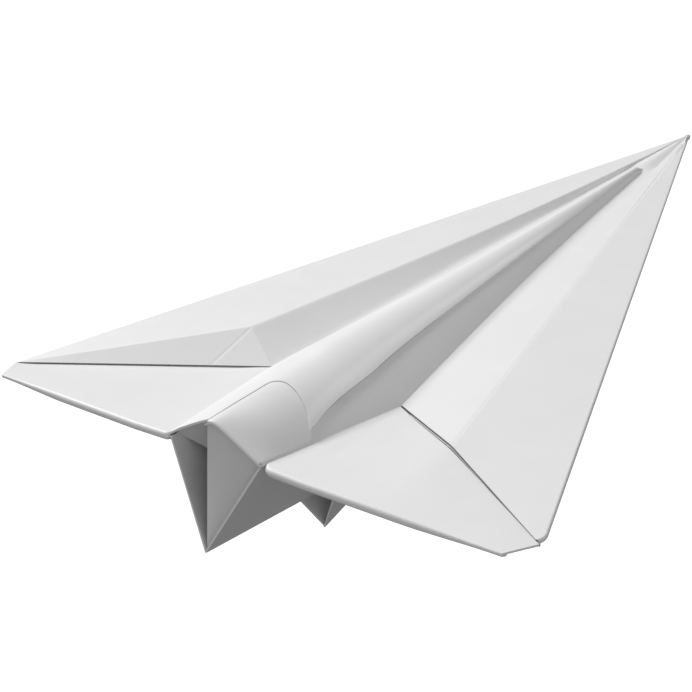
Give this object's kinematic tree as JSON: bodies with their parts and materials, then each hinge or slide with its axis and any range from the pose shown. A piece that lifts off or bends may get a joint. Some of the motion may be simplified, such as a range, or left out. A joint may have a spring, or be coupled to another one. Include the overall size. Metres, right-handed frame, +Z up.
{
  "type": "paper airplane",
  "caption": "Folded paper dart with a raised rounded ridge, a deep keel, layered wings that fold at the root, bendable rear panels and a tail tongue.",
  "frame": {"origin": "centre of the lower face of the dart's bounding box, under the deepest corner of the keel", "axes": "+X towards the nose along the centre plane, +Y towards the port wing, +Z up"},
  "size_m": [0.2998, 0.15, 0.0512],
  "materials": {
    "outer_layer": "smooth white card, matt with a slight sheen on the rounded folds",
    "inner_layer": "the same card on inner and underside layers, a little less bright"
  },
  "bodies": {
    "fuselage": {"ridge_port": "outer_layer", "ridge_starboard": "outer_layer", "nose_port": "outer_layer", "nose_starboard": "outer_layer", "port_root_gusset": "outer_layer", "starboard_root_gusset": "outer_layer", "front_keel_port": "inner_layer", "front_keel_starboard": "inner_layer", "rear_keel_port": "inner_layer", "rear_keel_starboard": "inner_layer", "tail_gusset": "inner_layer", "tail_tuck": "inner_layer"},
    "port_wing": {"port_upper_inner": "outer_layer", "port_upper_outer": "outer_layer", "port_upper_rear": "outer_layer", "port_under_inner": "inner_layer", "port_under_outer": "inner_layer", "port_under_rear": "inner_layer"},
    "starboard_wing": {"starboard_upper_inner": "outer_layer", "starboard_upper_outer": "outer_layer", "starboard_under_inner": "inner_layer", "starboard_under_outer": "inner_layer"},
    "port_elevator": {"port_rear_panel": "outer_layer", "port_hem": "outer_layer"},
    "starboard_elevator": {"starboard_rear_panel": "outer_layer", "starboard_hem": "outer_layer"},
    "tongue": {"tail_tongue": "outer_layer"}
  },
  "joints": [
    {"name": "port_wing_fold", "type": "hinge", "parent": "fuselage", "child": "port_wing", "pos_m": [-0.09942, 0.0198, 0.039], "axis": [0.9957, -0.0789, 0.0486], "range_deg": [-75, 20]},
    {"name": "starboard_wing_fold", "type": "hinge", "parent": "fuselage", "child": "starboard_wing", "pos_m": [-0.09942, -0.0198, 0.039], "axis": [-0.9957, -0.0789, -0.0486], "range_deg": [-75, 20]},
    {"name": "port_elevator_bend", "type": "hinge", "parent": "port_wing", "child": "port_elevator", "pos_m": [-0.09942, 0.0198, 0.03875], "axis": [-0.5484, 0.8362, 0.0121], "range_deg": [-12, 25]},
    {"name": "starboard_elevator_bend", "type": "hinge", "parent": "starboard_wing", "child": "starboard_elevator", "pos_m": [-0.09942, -0.0198, 0.03875], "axis": [0.5484, 0.8362, -0.0121], "range_deg": [-12, 25]},
    {"name": "tongue_lift", "type": "hinge", "parent": "fuselage", "child": "tongue", "pos_m": [-0.14602, 0, 0.049], "axis": [0, -0.8916, -0.4527], "range_deg": [0, 150]}
  ]
}
